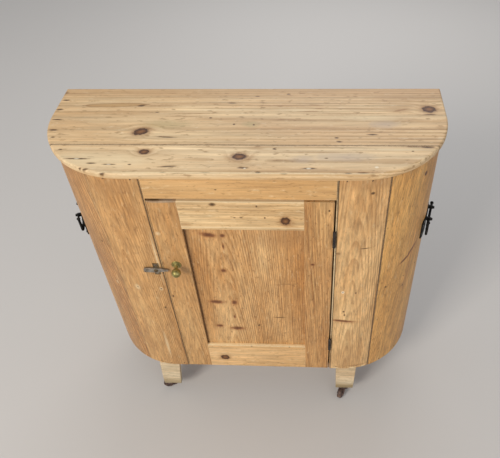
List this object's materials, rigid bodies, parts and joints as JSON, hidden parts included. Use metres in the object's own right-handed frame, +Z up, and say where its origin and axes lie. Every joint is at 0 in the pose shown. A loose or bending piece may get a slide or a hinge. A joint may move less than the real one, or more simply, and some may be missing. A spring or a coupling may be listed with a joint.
{
  "type": "plate warming cupboard",
  "caption": "Tall pine cupboard with round front corners, open back, panelled door, turn button, drop handles on the sides and castered block feet.",
  "frame": {"origin": "on the floor, below the middle of the space that the cupboard fills, from the knob's front to the back edge and between the side handles", "axes": "+X to the right as seen from the front, +Y to the open back, +Z up"},
  "size_m": [1.066, 0.406, 1.057],
  "materials": {
    "pine_top": "waxed pale honey pine, satin, worn edges",
    "pine_staves": "waxed orange-tan pine with upright grain, satin",
    "pine_panel": "waxed orange-tan pine with arched grain, satin",
    "pine_feet": "pale scrubbed pine, nearly matt",
    "pine_inside": "old unwaxed pine, matt",
    "tin_sheet": "dull tinned sheet",
    "handle_iron": "black cast iron",
    "button_iron": "grey-brown iron, rubbed",
    "caster_iron": "rusty brown iron",
    "wheel_iron": "rusty brown iron, rubbed tread",
    "hinge_iron": "dark iron",
    "screw_steel": "dull steel",
    "aged_brass": "greenish aged brass"
  },
  "bodies": {
    "carcass": {"top_rear_board": "pine_top", "top_front_board": "pine_top", "frieze_rail": "pine_top", "left_front_stave": "pine_staves", "right_front_stave": "pine_staves", "left_corner_stave": "pine_staves", "right_corner_stave": "pine_staves", "left_side_board": "pine_staves", "right_side_board": "pine_staves", "left_front_foot": "pine_feet", "right_front_foot": "pine_feet", "left_rear_foot": "pine_feet", "right_rear_foot": "pine_feet", "rear_top_rail": "pine_inside", "base_rear_board": "pine_inside", "base_front_board": "pine_inside", "shelf_rear_board": "pine_inside", "shelf_front_board": "pine_inside", "left_top_former": "pine_inside", "right_top_former": "pine_inside", "left_shelf_former": "pine_inside", "right_shelf_former": "pine_inside", "left_rear_post": "pine_inside", "right_rear_post": "pine_inside", "left_door_post": "pine_inside", "right_door_post": "pine_inside", "left_lining": "tin_sheet", "right_lining": "tin_sheet", "left_handle_plate": "handle_iron", "right_handle_plate": "handle_iron", "handle_screws": "handle_iron", "button_plate": "button_iron", "button_screws": "button_iron", "caster_plates": "caster_iron", "upper_frame_leaf": "hinge_iron", "lower_frame_leaf": "hinge_iron", "hinge_pins": "hinge_iron", "frame_hinge_screws": "screw_steel"},
    "door": {"door_lock_stile": "pine_staves", "door_hinge_stile": "pine_staves", "door_top_rail": "pine_top", "door_bottom_rail": "pine_top", "door_panel": "pine_panel", "door_lining": "tin_sheet", "upper_door_leaf": "hinge_iron", "lower_door_leaf": "hinge_iron", "door_hinge_screws": "screw_steel", "knob_rose": "aged_brass", "knob": "aged_brass"},
    "button": {"turn_button": "button_iron"},
    "left_bail": {"left_bail": "handle_iron"},
    "right_bail": {"right_bail": "handle_iron"},
    "left_front_horn": {"left_front_horn": "caster_iron"},
    "left_front_wheel": {"left_front_wheel": "wheel_iron"},
    "right_front_horn": {"right_front_horn": "caster_iron"},
    "right_front_wheel": {"right_front_wheel": "wheel_iron"},
    "left_rear_horn": {"left_rear_horn": "caster_iron"},
    "left_rear_wheel": {"left_rear_wheel": "wheel_iron"},
    "right_rear_horn": {"right_rear_horn": "caster_iron"},
    "right_rear_wheel": {"right_rear_wheel": "wheel_iron"}
  },
  "joints": [
    {"name": "door_hinge", "type": "hinge", "parent": "carcass", "child": "door", "pos_m": [0.23685, -0.16355, 0.346], "axis": [0, 0, 1], "range_deg": [0, 170]},
    {"name": "button_pivot", "type": "hinge", "parent": "carcass", "child": "button", "pos_m": [-0.2595, -0.1645, 0.702], "axis": [0, 1, 0], "continuous": true},
    {"name": "left_bail_pivot", "type": "hinge", "parent": "carcass", "child": "left_bail", "pos_m": [-0.51681, 0.01446, 0.766], "axis": [-0.2419, 0.9703, 0], "range_deg": [-1, 183]},
    {"name": "right_bail_pivot", "type": "hinge", "parent": "carcass", "child": "right_bail", "pos_m": [0.51681, 0.01446, 0.766], "axis": [-0.2419, -0.9703, 0], "range_deg": [-1, 183]},
    {"name": "left_front_swivel", "type": "hinge", "parent": "carcass", "child": "left_front_horn", "pos_m": [-0.325, -0.129, 0.04], "axis": [0, 0, 1], "continuous": true},
    {"name": "left_front_axle", "type": "hinge", "parent": "left_front_horn", "child": "left_front_wheel", "pos_m": [-0.351, -0.129, 0.018], "axis": [0, -1, 0], "continuous": true},
    {"name": "right_front_swivel", "type": "hinge", "parent": "carcass", "child": "right_front_horn", "pos_m": [0.2965, -0.129, 0.04], "axis": [0, 0, 1], "continuous": true},
    {"name": "right_front_axle", "type": "hinge", "parent": "right_front_horn", "child": "right_front_wheel", "pos_m": [0.28551, -0.15256, 0.018], "axis": [0.9063, -0.4226, 0], "continuous": true},
    {"name": "left_rear_swivel", "type": "hinge", "parent": "carcass", "child": "left_rear_horn", "pos_m": [-0.44, 0.163, 0.04], "axis": [0, 0, 1], "continuous": true},
    {"name": "left_rear_axle", "type": "hinge", "parent": "left_rear_horn", "child": "left_rear_wheel", "pos_m": [-0.4187, 0.17791, 0.018], "axis": [-0.5736, 0.8192, 0], "continuous": true},
    {"name": "right_rear_swivel", "type": "hinge", "parent": "carcass", "child": "right_rear_horn", "pos_m": [0.44, 0.163, 0.04], "axis": [0, 0, 1], "continuous": true},
    {"name": "right_rear_axle", "type": "hinge", "parent": "right_rear_horn", "child": "right_rear_wheel", "pos_m": [0.41748, 0.176, 0.018], "axis": [-0.5, -0.866, 0], "continuous": true}
  ]
}
